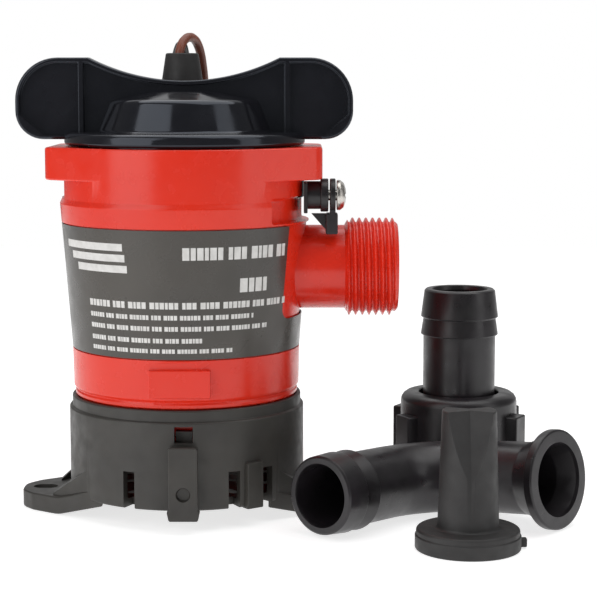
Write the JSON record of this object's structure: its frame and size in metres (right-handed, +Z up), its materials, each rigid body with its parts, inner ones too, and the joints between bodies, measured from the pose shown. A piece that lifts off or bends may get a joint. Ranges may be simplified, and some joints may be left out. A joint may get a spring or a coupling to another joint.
{
  "type": "bilge pump",
  "caption": "Submersible bilge pump with twist-in motor cartridge, clip-on strainer base, threaded side outlet, and loose hose ports and check valve.",
  "frame": {"origin": "centre of the set's bounding box, at floor level; the pump's own axis stands 30.6 mm towards -X and 10.6 mm towards +Y from it", "axes": "+Z up along the pump's axis, +X along the threaded outlet, -Y the labelled front"},
  "size_m": [0.1514, 0.1435, 0.1285],
  "materials": {
    "red_plastic": "smooth moulded, glossy",
    "charcoal_plastic": "fine matte moulded",
    "black_gloss_plastic": "polished moulded",
    "black_plastic": "satin moulded",
    "label_film": "printed film, satin",
    "black_rubber": "matt",
    "valve_rubber": "matt",
    "stainless_steel": "pressed, satin",
    "zinc_steel": "zinc plated",
    "ferrite": "sintered",
    "bronze": "sintered",
    "copper": "enamelled wire",
    "carbon": "pressed carbon",
    "nylon": "moulded",
    "brown_insulation": "flexible insulation",
    "black_insulation": "flexible insulation",
    "tinned_copper": "bare strands"
  },
  "bodies": {
    "pump": {"strainer_base": "charcoal_plastic", "pump_housing": "red_plastic", "label_band": "label_film", "lock_bracket": "black_plastic", "lock_screw": "stainless_steel", "lead_brown": "brown_insulation", "lead_brown_coil": "brown_insulation", "lead_brown_tail": "brown_insulation", "lead_brown_tip": "tinned_copper", "lead_black": "black_insulation", "lead_black_coil": "black_insulation", "lead_black_tail": "black_insulation", "lead_black_tip": "tinned_copper"},
    "front_tab": {"release_tab_front": "charcoal_plastic"},
    "back_tab": {"release_tab_back": "charcoal_plastic"},
    "lock": {"lock_lever": "black_plastic"},
    "cartridge": {"cartridge_cap": "black_gloss_plastic", "cap_o_ring": "black_rubber", "cable_boot": "black_rubber", "motor_case": "black_plastic", "motor_can": "zinc_steel", "magnet_left": "ferrite", "magnet_right": "ferrite", "shaft_seal": "black_rubber", "bush_bottom": "bronze", "bush_top": "bronze", "brush_plate": "nylon", "brush_left": "carbon", "brush_right": "carbon", "brush_spring_left": "bronze", "brush_spring_right": "bronze"},
    "rotor": {"motor_shaft": "stainless_steel", "armature_core": "zinc_steel", "armature_winding": "copper", "commutator": "copper", "impeller": "nylon"},
    "straight_fitting": {"straight_port": "black_plastic"},
    "nut": {"port_nut": "black_plastic"},
    "elbow": {"elbow_port": "black_plastic"},
    "valve": {"check_valve": "valve_rubber"}
  },
  "joints": [
    {"name": "cartridge_twist", "type": "hinge", "parent": "pump", "child": "cartridge", "pos_m": [-0.03061, 0.01061, 0.09], "axis": [0, 0, 1], "range_deg": [0, 30], "deforming": ["lead_brown", "lead_black"]},
    {"name": "rotor_spin", "type": "hinge", "parent": "cartridge", "child": "rotor", "pos_m": [-0.03061, 0.01061, 0.057], "axis": [0, 0, 1], "continuous": true},
    {"name": "front_tab_press", "type": "hinge", "parent": "pump", "child": "front_tab", "pos_m": [-0.03061, -0.02069, 0.0178], "axis": [1, 0, 0], "range_deg": [0, 4.5], "stiffness_Nm_per_rad": 0.4},
    {"name": "back_tab_press", "type": "hinge", "parent": "pump", "child": "back_tab", "pos_m": [-0.03061, 0.04191, 0.0178], "axis": [-1, 0, 0], "range_deg": [0, 4.5], "stiffness_Nm_per_rad": 0.4},
    {"name": "lock_turn", "type": "hinge", "parent": "pump", "child": "lock", "pos_m": [0.0091, 0.00161, 0.0855], "axis": [-1, 0, 0], "range_deg": [0, 90]},
    {"name": "straight_lift", "type": "slide", "parent": "pump", "child": "straight_fitting", "axis": [0, 0, 1], "range_m": [0, 0.08]},
    {"name": "nut_turn", "type": "hinge", "parent": "straight_fitting", "child": "nut", "pos_m": [0.04569, 0.03261, 0.014], "axis": [0, 0, 1], "continuous": true},
    {"name": "elbow_lift", "type": "slide", "parent": "pump", "child": "elbow", "axis": [0, 0, 1], "range_m": [0, 0.03]},
    {"name": "valve_lift", "type": "slide", "parent": "pump", "child": "valve", "axis": [0, 0, 1], "range_m": [0, 0.06]}
  ]
}
